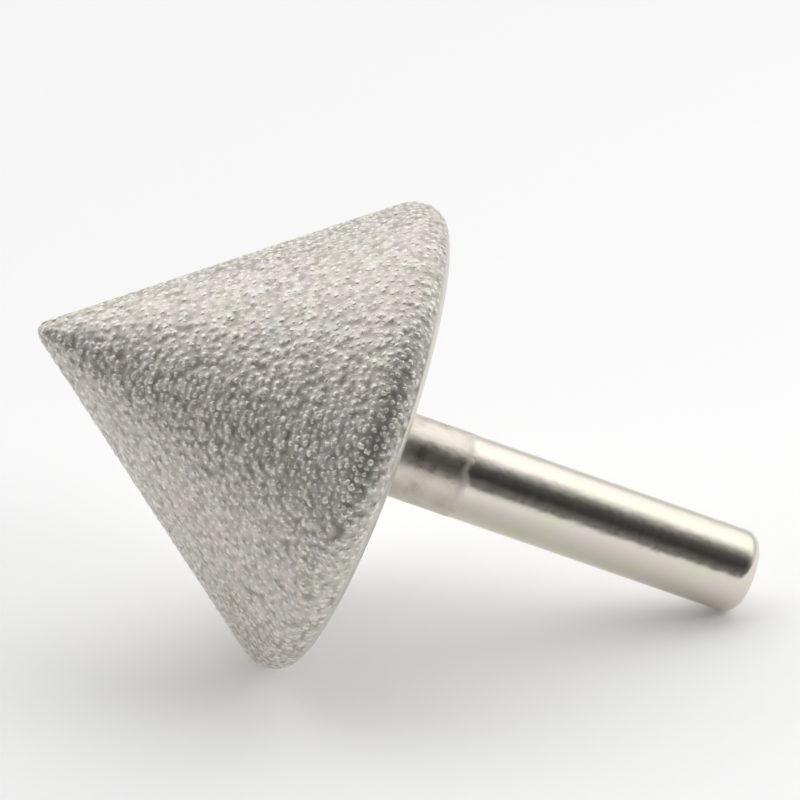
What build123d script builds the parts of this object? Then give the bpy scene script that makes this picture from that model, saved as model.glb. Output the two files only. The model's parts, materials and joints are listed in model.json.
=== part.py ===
from build123d import *
from math import acos, atan2, cos, hypot, radians, sin, tan
import os

# Diamond chamfering bit: a turned steel cone under a bonded layer of diamond grit, on a plain
# round shank that is pressed into the cone's back. It lies as it comes to rest on a flat
# surface, on its rim and on the free end of its shank, with the tip in the air to the left.
# Lengths are in millimetres and angles in degrees.

# Head
HEAD_DIAMETER = 45.0
CONE_ANGLE = 75.0  # between opposite sides of the cone
TIP_RADIUS = 1.2  # the blunt tip
RIM_RADIUS = 3.5  # rounds the cone into the widest circle
REAR_RADIUS = 2.0  # rounds the widest circle into the back face

# Diamond coat, let into the steel so that the bare lip behind it is flush
COAT_THICKNESS = 0.35
COAT_WRAP = 45.0  # how far the coat runs round the rear radius

# Bore in the back face
BORE_DEPTH = 15.0
BORE_CHAMFER = 0.4
DRILL_POINT_ANGLE = 118.0

# Shank
SHANK_DIAMETER = 8.0
SHANK_REACH = 38.25  # from the back face to the free end
END_RADIUS = 1.5
SEAT_CHAMFER = 0.6  # leads the hidden end into the bore

# Plating that crept from the head along the shank
PLATING_THICKNESS = 0.05
PLATING_LENGTH = 9.6
PLATING_TAPER = 0.8

# The section is drawn from the cone's apex: distance along the axis, then distance from it
head_radius = HEAD_DIAMETER / 2
shank_radius = SHANK_DIAMETER / 2
half_angle = CONE_ANGLE / 2
slope = radians(half_angle)

tip_centre = (TIP_RADIUS / sin(slope), 0)
front_centre_height = head_radius - RIM_RADIUS
widest_station = (RIM_RADIUS + front_centre_height * cos(slope)) / sin(slope)
front_centre = (widest_station, front_centre_height)
rear_centre = (widest_station, head_radius - REAR_RADIUS)
back_face = widest_station + REAR_RADIUS

bore_foot = back_face - BORE_DEPTH
bore_mouth = back_face - BORE_CHAMFER
drill_point = bore_foot - shank_radius / tan(radians(DRILL_POINT_ANGLE / 2))
shank_end = back_face + SHANK_REACH
end_centre = (shank_end - END_RADIUS, shank_radius - END_RADIUS)

# Resting tilt: the surface is tangent to the rear radius and to the round of the shank's end
rise = rear_centre[1] - end_centre[1]
run = end_centre[0] - rear_centre[0]
tilt = acos((END_RADIUS - REAR_RADIUS) / hypot(rise, run)) - atan2(run, rise)
along = Vector(cos(tilt), 0, -sin(tilt))
upward = Vector(sin(tilt), 0, cos(tilt))


def reach(centre, radius, direction):
    """Distance from the apex to the far side of a rounding, measured in one direction."""
    on_axis = direction.dot(along)
    off_axis = abs(direction.dot(upward))
    return centre[0] * on_axis + centre[1] * off_axis + radius


# The tip is furthest left, the shank's end furthest right and the rear radius lowest, and the
# origin is on the surface below the middle of the bit's length and width
left = reach(tip_centre, TIP_RADIUS, Vector(-1, 0, 0))
right = reach(end_centre, END_RADIUS, Vector(1, 0, 0))
down = reach(rear_centre, REAR_RADIUS, Vector(0, 0, -1))
apex = Vector((left - right) / 2, 0, down)
bit_axis = Axis(apex, along)
section = Plane(origin=apex, x_dir=along, z_dir=(0, -1, 0))


def coated_outline(depth, chamfered=False):
    """Draw the tip, cone and rim at a depth below the coat's surface, and give the two ends."""
    rim_mode = Mode.PRIVATE if chamfered else Mode.ADD
    tip = CenterArc(tip_centre, TIP_RADIUS - depth, 180, half_angle - 90)
    front_radius = RIM_RADIUS - depth
    front = CenterArc(front_centre, front_radius, 90 + half_angle, -half_angle, mode=rim_mode)
    Line(tip @ 1, front @ 0)
    rear = CenterArc(rear_centre, REAR_RADIUS - depth, 90, -COAT_WRAP, mode=rim_mode)
    if chamfered:
        Polyline(front @ 0, front @ 1, rear @ 1)
    return tip @ 0, rear @ 1


# Steel cone: turned, plainly chamfered below the coat's round rim, with a reamed blind bore
with BuildPart() as head_body:
    with BuildSketch(section):
        with BuildLine():
            steel_tip, shoulder = coated_outline(COAT_THICKNESS, chamfered=True)
            lip = CenterArc(rear_centre, REAR_RADIUS, 90 - COAT_WRAP, COAT_WRAP - 90)
            Line(shoulder, lip @ 0)
            Polyline(
                lip @ 1,
                (back_face, shank_radius + BORE_CHAMFER),
                (bore_mouth, shank_radius),
                (bore_foot, shank_radius),
                (drill_point, 0),
                steel_tip,
            )
        make_face()
    revolve(axis=bit_axis)

# Diamond coat: a layer over the tip, the cone and the rim
with BuildPart() as diamond_coat:
    with BuildSketch(section):
        with BuildLine():
            coat_tip, coat_edge = coated_outline(0)
            bond_tip, bond_edge = coated_outline(COAT_THICKNESS, chamfered=True)
            Line(coat_tip, bond_tip)
            Line(coat_edge, bond_edge)
        make_face()
    revolve(axis=bit_axis)

# Shank: a round pin, slightly thicker where plating crept along it from the head
with BuildPart() as shank:
    with BuildSketch(section):
        plated_radius = shank_radius + PLATING_THICKNESS
        plating_end = back_face + PLATING_LENGTH
        with BuildLine():
            Polyline(
                (bore_foot, 0),
                (bore_foot, shank_radius),
                (bore_mouth, shank_radius),
                (bore_mouth + PLATING_THICKNESS, plated_radius),
                (plating_end - PLATING_TAPER, plated_radius),
                (plating_end, shank_radius),
                (shank_end, shank_radius),
                (shank_end, 0),
                close=True,
            )
        make_face()
    revolve(axis=bit_axis)
    end_edges = shank.edges().filter_by(GeomType.CIRCLE).sort_by(bit_axis)
    chamfer(end_edges[0], SEAT_CHAMFER)
    fillet(end_edges[-1], END_RADIUS)

os.makedirs("parts", exist_ok=True)

head_body.part.label = "head_body"
export_step(head_body.part, "parts/head_body.step")

diamond_coat.part.label = "diamond_coat"
export_step(diamond_coat.part, "parts/diamond_coat.step")

shank.part.label = "shank"
export_step(shank.part, "parts/shank.step")
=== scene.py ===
import json
from math import cos, pi, radians, sin

import bpy
import numpy as np
from mathutils import Matrix, Vector, kdtree, noise


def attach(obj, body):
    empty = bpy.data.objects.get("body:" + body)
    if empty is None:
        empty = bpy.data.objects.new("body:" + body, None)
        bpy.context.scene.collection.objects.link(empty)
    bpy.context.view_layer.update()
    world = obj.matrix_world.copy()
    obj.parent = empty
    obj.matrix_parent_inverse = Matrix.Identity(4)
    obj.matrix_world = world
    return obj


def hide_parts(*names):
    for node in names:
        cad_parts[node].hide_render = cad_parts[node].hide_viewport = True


# The diamond chamfering bit as it lies: grains bonded over a steel cone, on a polished shank.
# Lengths are in millimetres and angles in degrees, up to MM, which turns them into the scene's
# metres.
MM = 0.001
SEED = 20

# Sizes of the bit, as they are in the part's source
HEAD_RADIUS = 22.5
HALF_ANGLE = 37.5
TIP_RADIUS = 1.2
RIM_RADIUS = 3.5
REAR_RADIUS = 2.0
COAT_THICKNESS = 0.35
COAT_WRAP = 45.0
SHANK_RADIUS = 4.0
SHANK_REACH = 38.25
END_RADIUS = 1.5
PLATING_THICKNESS = 0.05
PLATING_LENGTH = 9.6

# Grit: how the grains are spread, their size, how long they are over their width, how deep they
# sit, how near they come to the coat's edge, and how much the nickel rounds their facets
GRAIN_SPACING = 0.66
GRAIN_JITTER = 0.30
GRAIN_DROPOUT = 0.02
GRAIN_RADIUS = (0.27, 0.40)
GRAIN_LENGTH = (1.0, 1.4)
GRAIN_FLATNESS = 0.42
GRAIN_SINK = (0.0, 0.09)
GRAIN_EDGE = 0.2
GRAIN_ROUNDING = 0.4

# Nickel bond: its depth below the coat on a grain and between grains, how far it climbs, and
# the length and share of the hollows in which grains lie deeper
BOND_CREST = 0.05
BOND_PIT = 0.18
BOND_CLIMB = 0.33
BOND_HOLLOW = 0.75
BOND_HOLLOW_SHARE = 0.55
BOND_CELL = 0.16
BOND_PIECES = 3
BOND_FADE = 0.3

# View of the photograph
VIEW_AIM = (-0.0107, -3.6947, 25.0984)
VIEW_DISTANCE = 365.87
VIEW_AZIMUTH = 0.075
VIEW_ELEVATION = 23.08
VIEW_ROLL = -4.45
LENS = 182.29
SENSOR = 36.0

# Floor, with how far from the bit it starts and ends its fade in metal, where the floor is painted dark only
# in reflections
FLOOR_REACH = 6000.0
FLOOR_COLOUR = (0.93, 0.93, 0.93)
FLOOR_LIFT = 0.10
FLOOR_FADE = (60.0, 350.0)
FLOOR_FAR_REFLECTED_SHADE = (0.12, 0.12, 0.12)

# Studio light
TENT_STRENGTH = 1.45
FILL_PLACE = (560.0, -245.0, 340.0)
FILL_SIZE = 350.0
FILL_POWER = 1.3

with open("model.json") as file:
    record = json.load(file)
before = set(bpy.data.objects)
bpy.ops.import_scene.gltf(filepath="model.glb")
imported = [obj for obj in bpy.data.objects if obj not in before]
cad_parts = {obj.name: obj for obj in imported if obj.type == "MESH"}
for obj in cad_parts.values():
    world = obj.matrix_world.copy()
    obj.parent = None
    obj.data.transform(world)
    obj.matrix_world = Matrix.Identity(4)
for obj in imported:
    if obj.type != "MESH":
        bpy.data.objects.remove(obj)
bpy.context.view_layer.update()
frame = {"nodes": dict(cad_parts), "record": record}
rng = np.random.default_rng(SEED)

# The bit's own axis comes from the shank's mount, and the apex from the front of the coat
slope = radians(HALF_ANGLE)
mount = frame["record"]["mounts"][0]
along = np.array(mount["axis"]) / np.linalg.norm(mount["axis"])
side = np.array((0.0, -1.0, 0.0))
upward = np.cross(side, along)


def vertices_of(node):
    """The vertices of a CAD node, in millimetres."""
    return np.array([v.co for v in frame["nodes"][node].data.vertices]) / MM


tip_front = TIP_RADIUS / sin(slope) - TIP_RADIUS
foot = np.array(mount["pos_m"]) / MM
stations_of_coat = (vertices_of("diamond_coat") - foot) @ along
apex = foot + along * (stations_of_coat.min() - tip_front)

widest_station = (RIM_RADIUS + (HEAD_RADIUS - RIM_RADIUS) * cos(slope)) / sin(slope)
back_face = widest_station + REAR_RADIUS
cone_length = (HEAD_RADIUS - RIM_RADIUS + (RIM_RADIUS - TIP_RADIUS) * cos(slope)) / sin(slope)


def place(station, radius, angle):
    """Points of the scene, in millimetres, from stations along the axis, radii and turns."""
    station, radius, angle = np.broadcast_arrays(station, radius, angle)
    outward = np.cos(angle)[..., None] * upward + np.sin(angle)[..., None] * side
    return apex + station[..., None] * along + radius[..., None] * outward


# Outline of the coat, walked from the tip to its edge behind the rim
walk_knots = np.cumsum([
    0,
    TIP_RADIUS * (pi / 2 - slope),
    cone_length,
    RIM_RADIUS * slope,
    REAR_RADIUS * radians(COAT_WRAP),
])
coat_length = walk_knots[-1]
walk = np.linspace(0, coat_length, 8001)
walk_heading = np.interp(walk, walk_knots, [pi / 2, slope, slope, 0, -radians(COAT_WRAP)])
half_step = walk[1] / 2
walk_rise = np.sin(walk_heading)
walk_run = np.cos(walk_heading)
walk_radius = np.append(0, np.cumsum(walk_rise[1:] + walk_rise[:-1]) * half_step)
walk_station = tip_front + np.append(0, np.cumsum(walk_run[1:] + walk_run[:-1]) * half_step)


def coat_surface(distance, depth, angle):
    """Points at a depth below the coat, at distances along its outline, and the normals."""
    heading = np.interp(distance, walk, walk_heading)
    station = np.interp(distance, walk, walk_station) + depth * np.sin(heading)
    radius = np.interp(distance, walk, walk_radius) - depth * np.cos(heading)
    turn = np.cos(angle)[..., None] * upward + np.sin(angle)[..., None] * side
    normal = np.cos(heading)[..., None] * turn - np.sin(heading)[..., None] * along
    return place(station, np.maximum(radius, 0), angle), normal


def new_piece(name, points, faces, material, smooth=None):
    """A mesh object that rides with the bit. Its first faces are smooth, or all where no count
    is given."""
    mesh = bpy.data.meshes.new(name)
    mesh.from_pydata((points * MM).tolist(), [], faces)
    smooth_count = len(faces) if smooth is None else smooth
    mesh.polygons.foreach_set("use_smooth", [k < smooth_count for k in range(len(faces))])
    mesh.materials.append(material)
    mesh.update()
    piece = bpy.data.objects.new(name, mesh)
    bpy.context.scene.collection.objects.link(piece)
    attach(piece, "root")
    return piece


def set_values(piece, name, values):
    """A number for each vertex of a piece, which its material reads by name."""
    attribute = piece.data.attributes.new(name, "FLOAT", "POINT")
    attribute.data.foreach_set("value", np.ravel(values).astype(np.float32))


def ring_faces(rows, segments):
    """Quads between rows of a closed grid whose vertices run round each row."""
    row = np.arange(rows - 1)[:, None] * segments
    here = np.arange(segments)[None, :]
    after = (here + 1) % segments
    quads = np.stack([row + here, row + after, row + segments + after, row + segments + here], axis=-1)
    return quads.reshape(-1, 4).tolist()


# Materials


def new_material(name):
    """A material, its node tree and its Principled BSDF."""
    material = bpy.data.materials.new(name)
    material.use_nodes = True
    tree = material.node_tree
    return material, tree, tree.nodes["Principled BSDF"]


def node(tree, kind, inputs=None, **settings):
    """A new node, with settings, and with inputs given as values or as other nodes' outputs."""
    made = tree.nodes.new(kind)
    for key, value in settings.items():
        setattr(made, key, value)
    for key, value in (inputs or {}).items():
        if isinstance(value, bpy.types.NodeSocket):
            tree.links.new(value, made.inputs[key])
        else:
            made.inputs[key].default_value = value
    return made


def bit_coordinates(tree, scale=(1, 1, 1)):
    """Coordinates in millimetres from the apex, with X along the bit's axis, then scaled."""
    turn = Matrix((along, -side, upward)).transposed().to_euler()
    object_space = node(tree, "ShaderNodeTexCoord").outputs["Object"]
    own = node(
        tree,
        "ShaderNodeMapping",
        {"Vector": object_space, "Location": apex * MM, "Rotation": turn, "Scale": (MM, MM, MM)},
        vector_type="TEXTURE",
    )
    if scale == (1, 1, 1):
        return own.outputs[0]
    return node(tree, "ShaderNodeMapping", {"Vector": own.outputs[0], "Scale": scale}).outputs[0]


def noise_of(tree, vector, scale, detail=2.0, roughness=0.5):
    """Noise values over a vector."""
    made = node(
        tree,
        "ShaderNodeTexNoise",
        {"Vector": vector, "Scale": scale, "Detail": detail, "Roughness": roughness},
    )
    return made.outputs["Fac"]


def ramp(tree, factor, stops):
    """A colour ramp over a factor, with stops of position and colour."""
    made = node(tree, "ShaderNodeValToRGB", {"Fac": factor})
    elements = made.color_ramp.elements
    elements.remove(elements[-1])
    elements[0].position = stops[0][0]
    elements[0].color = (*stops[0][1], 1)
    for position, colour in stops[1:]:
        elements.new(position).color = (*colour, 1)
    return made.outputs["Color"]


def span(tree, value, low, high, from_low=0.0, from_high=1.0):
    """A value brought from one range into another."""
    made = node(
        tree,
        "ShaderNodeMapRange",
        {"Value": value, "From Min": from_low, "From Max": from_high, "To Min": low, "To Max": high},
    )
    return made.outputs["Result"]


def blend(tree, factor, first, second, mode="MIX"):
    """Two colours mixed by a factor."""
    made = node(tree, "ShaderNodeMix", data_type="RGBA", blend_type=mode)
    for key, value in ((0, factor), (6, first), (7, second)):
        if isinstance(value, bpy.types.NodeSocket):
            tree.links.new(value, made.inputs[key])
        else:
            made.inputs[key].default_value = value
    return made.outputs[2]


def bump(tree, height, distance, strength=1.0, normal=None):
    """A bump normal from heights, where a height of 1 stands for the distance in millimetres."""
    inputs = {"Height": height, "Distance": distance * MM, "Strength": strength}
    if normal is not None:
        inputs["Normal"] = normal
    return node(tree, "ShaderNodeBump", inputs).outputs["Normal"]


def wire(tree, shader, **sockets):
    """Links outputs into a shader's sockets, whose names are given with _ for a space."""
    for key, value in sockets.items():
        socket = shader.inputs[key.replace("_", " ")]
        if isinstance(value, bpy.types.NodeSocket):
            tree.links.new(value, socket)
        else:
            socket.default_value = value


def make_bond_material():
    """Electroplated nickel: dull gray metal with faint tints, and painted shade that darkens it in the pits.
    """
    material, tree, shader = new_material("nickel_bond")
    where = bit_coordinates(tree)
    cloud = noise_of(tree, where, 0.28, 3)
    tint = ramp(tree, cloud, [
        (0.36, (0.74, 0.72, 0.64)),
        (0.46, (0.75, 0.71, 0.65)),
        (0.54, (0.76, 0.70, 0.66)),
        (0.64, (0.73, 0.71, 0.68)),
    ])
    # Painted shade: the deeper a point lies in a pit, the more its colour goes to dark (0.38, 0.35, 0.31).
    depth = node(tree, "ShaderNodeAttribute", attribute_name="depth").outputs["Fac"]
    colour = blend(tree, depth, tint, (0.38, 0.35, 0.31, 1))
    fine = noise_of(tree, where, 5.0, 3, 0.6)
    wire(
        tree,
        shader,
        Base_Color=colour,
        Metallic=0.9,
        Roughness=span(tree, fine, 0.38, 0.50),
        Normal=bump(tree, fine, 0.05),
    )
    return material


def make_grain_material():
    """Diamond grains with nickel on their flanks: pale gray to faintly yellow or green."""
    material, tree, shader = new_material("diamond_grains")
    where = bit_coordinates(tree)
    # The tone sets the grey: random for each grain, and darker as painted shade for grains in hollows.
    tone_and_shade = node(tree, "ShaderNodeAttribute", attribute_name="tone_and_shade").outputs["Fac"]
    grey = ramp(tree, tone_and_shade, [
        (0.0, (0.60, 0.59, 0.57)),
        (0.4, (0.74, 0.73, 0.71)),
        (0.8, (0.82, 0.81, 0.79)),
        (1.0, (0.90, 0.89, 0.87)),
    ])
    cloud = noise_of(tree, where, 0.28, 3)
    tint = ramp(tree, cloud, [
        (0.36, (0.98, 0.97, 0.88)),
        (0.46, (1.0, 0.97, 0.91)),
        (0.54, (1.0, 0.95, 0.91)),
        (0.64, (0.97, 0.95, 0.93)),
    ])
    colour = blend(tree, 1.0, grey, tint, "MULTIPLY")
    fine = noise_of(tree, where, 7.0, 2)
    wire(
        tree,
        shader,
        Base_Color=colour,
        Metallic=0.75,
        Roughness=span(tree, fine, 0.40, 0.52),
        Normal=bump(tree, fine, 0.03),
    )
    return material


def make_shank_material():
    """Ground and polished steel, with fine rings round it, under mottled nickel by the head."""
    material, tree, shader = new_material("polished_shank")
    where = bit_coordinates(tree)
    rings = noise_of(tree, bit_coordinates(tree, (7.0, 0.15, 0.15)), 1.0, 4, 0.65)
    mottle = noise_of(tree, where, 0.55, 2, 0.5)
    stain = noise_of(tree, bit_coordinates(tree, (0.22, 0.4, 0.4)), 1.0, 2)
    plating = node(tree, "ShaderNodeAttribute", attribute_name="plating").outputs["Fac"]
    steel = ramp(tree, stain, [
        (0.35, (0.73, 0.71, 0.59)),
        (0.5, (0.75, 0.71, 0.63)),
        (0.65, (0.76, 0.70, 0.65)),
    ])
    nickel = ramp(tree, mottle, [
        (0.3, (0.58, 0.52, 0.45)),
        (0.5, (0.69, 0.64, 0.57)),
        (0.7, (0.75, 0.71, 0.64)),
    ])
    polish = span(tree, rings, 0.12, 0.24, 0.3, 0.7)
    dull = span(tree, mottle, 0.24, 0.38, 0.3, 0.7)
    roughness = node(tree, "ShaderNodeMix", data_type="FLOAT")
    for key, value in ((0, plating), (2, polish), (3, dull)):
        tree.links.new(value, roughness.inputs[key])
    past = node(tree, "ShaderNodeMath", {0: 1.0, 1: plating}, operation="SUBTRACT").outputs[0]
    verge = node(tree, "ShaderNodeMath", {0: plating, 1: past}, operation="MULTIPLY").outputs[0]
    rough = node(tree, "ShaderNodeMath", {0: verge, 1: 0.9, 2: roughness.outputs[0]}, operation="MULTIPLY_ADD")
    ring_bump = bump(tree, rings, 0.006)
    wire(
        tree,
        shader,
        Base_Color=blend(tree, plating, steel, nickel),
        Metallic=1.0,
        Roughness=rough.outputs[0],
        Normal=bump(tree, mottle, 0.08, 0.6, ring_bump),
    )
    return material


def make_head_material():
    """Turned steel under thin nickel: rings round the back face and a bright bare lip."""
    material, tree, shader = new_material("turned_head")
    where = bit_coordinates(tree)
    parts = node(tree, "ShaderNodeSeparateXYZ", {"Vector": where})
    across = node(tree, "ShaderNodeCombineXYZ", {"Y": parts.outputs["Y"], "Z": parts.outputs["Z"]})
    radius = node(tree, "ShaderNodeVectorMath", {0: across.outputs[0]}, operation="LENGTH")
    ring_place = node(tree, "ShaderNodeCombineXYZ", {"X": radius.outputs["Value"], "Y": parts.outputs["X"]})
    rings = noise_of(tree, ring_place.outputs[0], 4.0, 3, 0.7)
    mottle = noise_of(tree, where, 0.6, 3)
    colour = ramp(tree, mottle, [
        (0.35, (0.65, 0.62, 0.56)),
        (0.65, (0.73, 0.70, 0.65)),
    ])
    wire(
        tree,
        shader,
        Base_Color=colour,
        Metallic=1.0,
        Roughness=span(tree, rings, 0.20, 0.38),
        Normal=bump(tree, rings, 0.02),
    )
    return material


# Grains


def cuboctahedron():
    """Corners and faces of a cube whose corners are cut back to the middles of its edges."""
    corners = []
    for flat_axis in range(3):
        for first in (-1, 1):
            for second in (-1, 1):
                corner = [first, second]
                corner.insert(flat_axis, 0)
                corners.append(corner)
    corners = np.array(corners, float) / np.sqrt(2)
    faces = []
    normals = [np.array((x, y, z)) for x in (-1, 1) for y in (-1, 1) for z in (-1, 1)]
    normals += [s * np.eye(3)[k] for s in (-1, 1) for k in range(3)]
    for normal in normals:
        heights = corners @ normal
        members = np.flatnonzero(heights > heights.max() - 1e-6)
        middle = corners[members].mean(axis=0)
        first = corners[members[0]] - middle
        second = np.cross(normal, first)
        turns = [np.arctan2((corners[m] - middle) @ second, (corners[m] - middle) @ first) for m in members]
        faces.append(members[np.argsort(turns)])
    return corners, faces


def random_turns(count):
    """Rotation matrices spread evenly over all directions."""
    q = rng.normal(size=(count, 4))
    w, x, y, z = (q / np.linalg.norm(q, axis=1)[:, None]).T
    rows = [
        [1 - 2 * (y * y + z * z), 2 * (x * y - z * w), 2 * (x * z + y * w)],
        [2 * (x * y + z * w), 1 - 2 * (x * x + z * z), 2 * (y * z - x * w)],
        [2 * (x * z - y * w), 2 * (y * z + x * w), 1 - 2 * (x * x + y * y)],
    ]
    return np.moveaxis(np.array(rows), -1, 0)


def hollow(points):
    """How deep in a hollow of the coat each point is, from 0 to 1."""
    waves = [noise.noise(Vector(point / BOND_HOLLOW)) for point in points]
    return np.clip(0.5 + 1.2 * np.array(waves), 0, 1)


def scatter_grains():
    """Where the grains sit: distances along the outline and angles, in loosely filled rows."""
    distances = []
    angles = []
    rows = int(coat_length / GRAIN_SPACING)
    for row in range(rows):
        middle = (row + 0.5) * coat_length / rows
        radius = np.interp(middle, walk, walk_radius)
        count = max(3, round(2 * pi * radius / GRAIN_SPACING))
        jitter = rng.uniform(-GRAIN_JITTER, GRAIN_JITTER, size=(2, count))
        distances.append(middle + jitter[0] * GRAIN_SPACING)
        angles.append((np.arange(count) + rng.random() + jitter[1]) * 2 * pi / count)
    distances = np.clip(np.concatenate(distances), 0, coat_length - GRAIN_EDGE)
    angles = np.concatenate(angles)
    kept = rng.random(len(distances)) > GRAIN_DROPOUT
    return distances[kept], angles[kept]


grain_distance, grain_angle = scatter_grains()
grain_count = len(grain_distance)
grain_radius = rng.uniform(*GRAIN_RADIUS, size=grain_count)
grain_length = rng.uniform(*GRAIN_LENGTH, size=grain_count)
grain_foot, grain_normal = coat_surface(grain_distance, 0.0, grain_angle)
grain_hollow = hollow(grain_foot)
# A grain's tone varies at random, and is lowered in the coat's hollows as painted shade.
grain_tone_and_shade = np.clip(1 - 0.6 * grain_hollow + rng.uniform(-0.3, 0.3, size=grain_count), 0, 1)

# Each grain lies along its long axis, turned at random in the surface
turns = rng.uniform(0, pi, size=grain_count)
around = np.cross(grain_normal, along)
around /= np.linalg.norm(around, axis=1)[:, None]
grain_long = np.cos(turns)[:, None] * around + np.sin(turns)[:, None] * np.cross(grain_normal, around)
grain_wide = np.cross(grain_normal, grain_long)

corners, corner_faces = cuboctahedron()
turned = np.einsum("nij,kj->nki", random_turns(grain_count), corners) * grain_radius[:, None, None]
for axis, factor in (
    (grain_long, np.sqrt(grain_length)),
    (grain_wide, 1 / np.sqrt(grain_length)),
    (grain_normal, np.full(grain_count, GRAIN_FLATNESS)),
):
    heights = np.einsum("nkj,nj->nk", turned, axis)
    turned += ((factor - 1)[:, None] * heights)[..., None] * axis[:, None, :]
tops = np.einsum("nkj,nj->nk", turned, grain_normal).max(axis=1)
sinks = np.interp(grain_hollow, (0, 1), GRAIN_SINK)
grain_centre = grain_foot - grain_normal * (tops + sinks)[:, None]
grain_points = grain_centre[:, None, :] + turned

grain_tree = kdtree.KDTree(grain_count)
for number, centre in enumerate(grain_foot):
    grain_tree.insert(centre, number)
grain_tree.balance()


def make_grains(name, material):
    """The grains, each a crystal with softened facets and a tone of its own, which also carries painted shade
    where a grain lies in a hollow.
    """
    starts = np.arange(grain_count)[:, None, None] * len(corners)
    by_size = {len(face): [f for f in corner_faces if len(f) == len(face)] for face in corner_faces}
    faces = []
    for group in by_size.values():
        faces += (starts + np.array(group)[None]).reshape(-1, len(group[0])).tolist()
    piece = new_piece(name, grain_points.reshape(-1, 3), faces, material)
    mesh = piece.data
    count = len(mesh.loops)
    of_vertex = np.empty(count, dtype=int)
    mesh.loops.foreach_get("vertex_index", of_vertex)
    vertex_normals = np.empty(len(mesh.vertices) * 3)
    mesh.vertices.foreach_get("normal", vertex_normals)
    face_normals = np.empty(len(mesh.polygons) * 3)
    mesh.polygons.foreach_get("normal", face_normals)
    sizes = [len(face) for face in faces]
    softened = (
        GRAIN_ROUNDING * vertex_normals.reshape(-1, 3)[of_vertex]
        + (1 - GRAIN_ROUNDING) * np.repeat(face_normals.reshape(-1, 3), sizes, axis=0)
    )
    softened /= np.linalg.norm(softened, axis=1)[:, None]
    mesh.normals_split_custom_set(softened.tolist())
    set_values(piece, "tone_and_shade", np.repeat(grain_tone_and_shade, len(corners)))
    return piece


# Bond


def climb(points):
    """How far the nickel has climbed up the nearest grains at each point, from 0 to 1."""
    nearest = np.array([[found[1] for found in grain_tree.find_n(point, 4)] for point in points])
    total = np.zeros(len(points))
    for number in nearest.T:
        away = points - grain_foot[number]
        lengthwise = (away * grain_long[number]).sum(axis=1) ** 2 / grain_length[number]
        across = (away * grain_wide[number]).sum(axis=1) ** 2 * grain_length[number]
        total += np.exp(-(lengthwise + across) / BOND_CLIMB ** 2)
    return np.clip(total, 0, 1)


def bond_grid():
    """The nickel's outer surface, walked from the tip to the coat's edge: the points and normals
    of each row, and how deep in a pit each point is."""
    segments = int(2 * pi * HEAD_RADIUS / BOND_CELL)
    rows = int(coat_length / BOND_CELL)
    angle = np.linspace(0, 2 * pi, segments, endpoint=False)
    distances, angles = np.meshgrid(np.linspace(0.01, coat_length, rows), angle, indexing="ij")
    nominal, normal = coat_surface(distances, 0.0, angles)
    flat = nominal.reshape(-1, 3)
    share = BOND_HOLLOW_SHARE
    dip = (1 - share) * (1 - climb(flat)) + share * hollow(flat)
    dip = dip.reshape(rows, segments)
    edge = np.clip((coat_length - distances) / BOND_FADE, 0, 1)
    edge = edge * edge * (3 - 2 * edge)
    depth = (BOND_CREST + (BOND_PIT - BOND_CREST) * dip) * edge
    points = nominal - normal * depth[..., None]
    lengthwise = np.gradient(points, axis=0)
    across = np.roll(points, -1, axis=1) - np.roll(points, 1, axis=1)
    shaded = np.cross(lengthwise, across)
    shaded *= np.sign((shaded * normal).sum(axis=-1))[..., None]
    return points, shaded / np.linalg.norm(shaded, axis=-1)[..., None], dip * edge


def make_bond(material):
    """The nickel, in pieces that meet edge to edge and share their shading along the edges."""
    points, normals, dip = bond_grid()
    rows, segments = dip.shape
    cuts = np.linspace(0, rows - 1, BOND_PIECES + 1).astype(int)
    for order, (first, last) in enumerate(zip(cuts[:-1], cuts[1:])):
        part = slice(first, last + 1)
        faces = ring_faces(last + 1 - first, segments)
        shell = points[part].reshape(-1, 3)
        piece = new_piece(f"bond_{order}", shell, faces, material)
        piece.data.normals_split_custom_set_from_vertices(normals[part].reshape(-1, 3).tolist())
        # How deep in a pit each point lies, which the bond material turns into painted shade.
        set_values(piece, "depth", dip[part])
        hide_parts("diamond_coat")


# Shank


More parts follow.
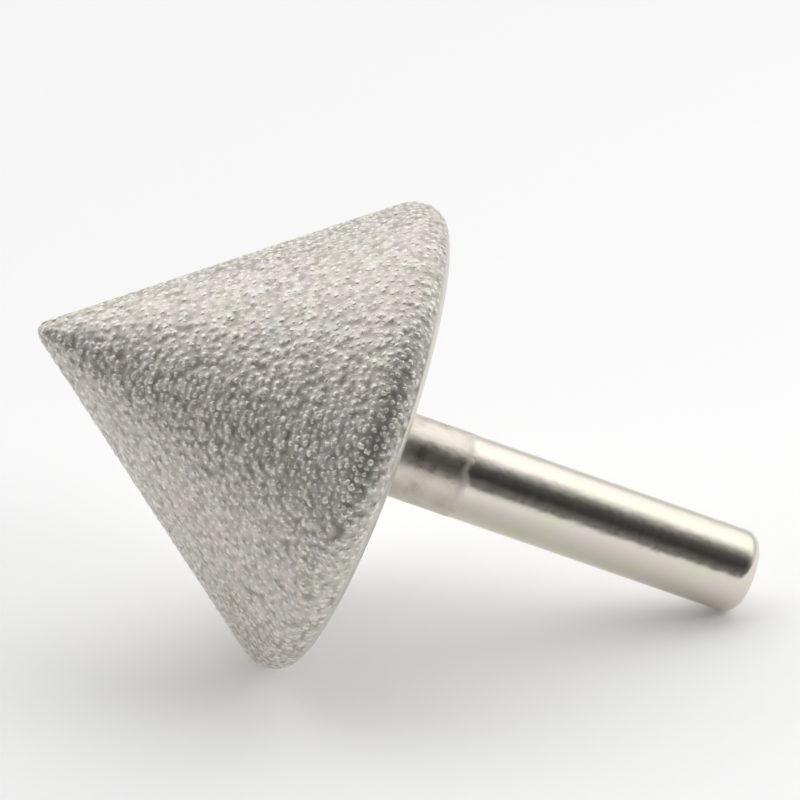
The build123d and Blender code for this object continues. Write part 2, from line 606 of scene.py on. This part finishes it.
def make_shank(material):
    """The pin from inside the head to its rounded end, with the plating's uneven front edge."""
    segments = 360
    reach = SHANK_REACH - END_RADIUS
    straight = np.concatenate([
        np.linspace(-1.0, PLATING_LENGTH + 2.0, 84, endpoint=False),
        np.linspace(PLATING_LENGTH + 2.0, reach, 40),
    ])
    bend = np.linspace(0, pi / 2, 13)[1:]
    station = np.concatenate([straight, reach + END_RADIUS * np.sin(bend)])
    radius = np.concatenate([
        np.full(len(straight), SHANK_RADIUS),
        SHANK_RADIUS - END_RADIUS + END_RADIUS * np.cos(bend),
    ])
    flat_end = np.linspace(SHANK_RADIUS - END_RADIUS, 0.02, 8)[1:]
    station = np.concatenate([station, np.full(len(flat_end), SHANK_REACH)])
    radius = np.concatenate([radius, flat_end])
    angle = np.linspace(0, 2 * pi, segments, endpoint=False)
    station_grid, angle_grid = np.meshgrid(station, angle, indexing="ij")
    radius_grid = np.repeat(radius[:, None], segments, axis=1)
    flat = place(back_face + station_grid, radius_grid, angle_grid).reshape(-1, 3)
    ragged = np.array([
        noise.fractal(Vector((3 * cos(a), 3 * sin(a), 0.5)), 0.8, 2.1, 4) for a in angle
    ])
    edge_grid = PLATING_LENGTH - 0.5 + 0.35 * ragged[None, :] - station_grid
    plating = np.clip(edge_grid / 0.9 + 0.5, 0, 1)
    bead = np.exp(-((edge_grid / 0.35) ** 2))
    lumps = np.array([noise.fractal(Vector(point * 0.9), 0.7, 2.1, 4) for point in flat])
    lumps = lumps.reshape(plating.shape)
    thickness = PLATING_THICKNESS * (0.72 * plating + 0.22 * bead) + 0.012 * plating * (lumps - 0.6)
    thickness = np.clip(thickness, 0, PLATING_THICKNESS)
    points = place(back_face + station_grid, radius_grid + thickness, angle_grid).reshape(-1, 3)
    faces = ring_faces(len(station), segments)
    faces.append([(len(station) - 1) * segments + k for k in range(segments)])
    faces.append(list(reversed(range(segments))))
    piece = new_piece("shank_pin", points, faces, material)
    set_values(piece, "plating", plating)
    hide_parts("shank")
    return piece


make_bond(make_bond_material())
make_grains("diamond_grains", make_grain_material())
make_shank(make_shank_material())

head = frame["nodes"]["head_body"]
head.data.materials.clear()
head.data.materials.append(make_head_material())

# Floor, studio light and camera


def make_floor():
    """A plain pale floor that fills the view. In metal it fades towards the camera's side into a painted dark
    reflection.
    """
    material, tree, shader = new_material("floor")
    place_on_floor = node(tree, "ShaderNodeTexCoord").outputs["Object"]
    depth = node(tree, "ShaderNodeSeparateXYZ", {"Vector": place_on_floor}).outputs["Y"]
    near, far = (distance * MM for distance in FLOOR_FADE)
    fade = span(tree, depth, 1.0, 0.0, -far, -near)
    path = node(tree, "ShaderNodeLightPath")
    in_metal = path.outputs["Is Glossy Ray"]
    faded = node(tree, "ShaderNodeMath", {0: fade, 1: in_metal}, operation="MULTIPLY").outputs[0]
    # Painted reflection: only in glossy rays, the floor goes dark away from the bit on the camera's side.
    colour = blend(tree, faded, (*FLOOR_COLOUR, 1), (*FLOOR_FAR_REFLECTED_SHADE, 1))
    near_metal = node(tree, "ShaderNodeMath", {0: in_metal, 1: faded}, operation="SUBTRACT").outputs[0]
    seen = node(tree, "ShaderNodeMath", {0: path.outputs["Is Camera Ray"], 1: near_metal}, operation="ADD")
    lift = span(tree, seen.outputs[0], 0.0, FLOOR_LIFT)
    wire(
        tree,
        shader,
        Base_Color=colour,
        Roughness=0.9,
        Emission_Color=(1.0, 1.0, 1.0, 1.0),
        Emission_Strength=lift,
    )
    mesh = bpy.data.meshes.new("floor")
    reach = FLOOR_REACH * MM
    corners_of_floor = [(-reach, -reach, 0), (reach, -reach, 0), (reach, reach, 0), (-reach, reach, 0)]
    mesh.from_pydata(corners_of_floor, [], [(0, 1, 2, 3)])
    mesh.materials.append(material)
    floor = bpy.data.objects.new("floor", mesh)
    bpy.context.scene.collection.objects.link(floor)


def make_world():
    """A white tent that is open and dark on the camera's side, and grayer towards the floor."""
    world = bpy.data.worlds.new("tent")
    bpy.context.scene.world = world
    world.use_nodes = True
    tree = world.node_tree
    direction = node(tree, "ShaderNodeTexCoord").outputs["Generated"]
    parts = node(tree, "ShaderNodeSeparateXYZ", {"Vector": direction})
    depth = span(tree, parts.outputs["Y"], 0.0, 1.0, -1.0, 1.0)
    tent = ramp(tree, depth, [
        (0.10, (0.03, 0.03, 0.03)),
        (0.25, (0.065, 0.065, 0.065)),
        (0.36, (0.24, 0.24, 0.24)),
        (0.45, (0.60, 0.60, 0.60)),
        (0.55, (1.0, 1.0, 1.0)),
    ])
    lower = ramp(tree, parts.outputs["Z"], [
        (0.05, (0.38, 0.38, 0.38)),
        (0.25, (0.45, 0.45, 0.45)),
        (0.45, (0.85, 0.85, 0.85)),
        (0.65, (0.98, 0.98, 0.98)),
    ])
    glow = ramp(tree, parts.outputs["Z"], [
        (0.05, (0.14, 0.135, 0.13)),
        (0.40, (0.0, 0.0, 0.0)),
    ])
    right = span(tree, parts.outputs["X"], 0.0, 1.0, -0.3, 0.3)
    glow = blend(tree, right, (0, 0, 0, 1), glow)
    lit = blend(tree, 1.0, tent, lower, "MULTIPLY")
    background = tree.nodes["Background"]
    tree.links.new(blend(tree, 1.0, lit, glow, "ADD"), background.inputs["Color"])
    background.inputs["Strength"].default_value = TENT_STRENGTH


def make_fill():
    """A soft light from the right that lights what is matt and doesn't show in the metal."""
    data = bpy.data.lights.new("fill", "AREA")
    data.shape = "SQUARE"
    data.size = FILL_SIZE * MM
    data.energy = FILL_POWER
    fill = bpy.data.objects.new("fill", data)
    fill.location = Vector(FILL_PLACE) * MM
    fill.rotation_euler = Vector(FILL_PLACE).to_track_quat("Z", "Y").to_euler()
    fill.visible_glossy = False
    bpy.context.scene.collection.objects.link(fill)


def make_camera():
    """A long lens at the photograph's viewing angle."""
    azimuth, elevation, roll = radians(VIEW_AZIMUTH), radians(VIEW_ELEVATION), radians(VIEW_ROLL)
    forward = Vector((sin(azimuth) * cos(elevation), cos(azimuth) * cos(elevation), -sin(elevation)))
    level = Vector((cos(azimuth), -sin(azimuth), 0))
    upright = level.cross(forward)
    right = level * cos(roll) + upright * sin(roll)
    up = upright * cos(roll) - level * sin(roll)
    turn = Matrix((right, up, -forward)).transposed().to_4x4()
    data = bpy.data.cameras.new("camera")
    data.lens = LENS
    data.sensor_width = SENSOR
    data.clip_start = 0.01
    camera = bpy.data.objects.new("camera", data)
    position = (Vector(VIEW_AIM) - forward * VIEW_DISTANCE) * MM
    camera.matrix_world = Matrix.Translation(position) @ turn
    bpy.context.scene.collection.objects.link(camera)
    bpy.context.scene.camera = camera


make_floor()
make_world()
make_fill()
make_camera()
bpy.context.scene.view_settings.view_transform = "Standard"
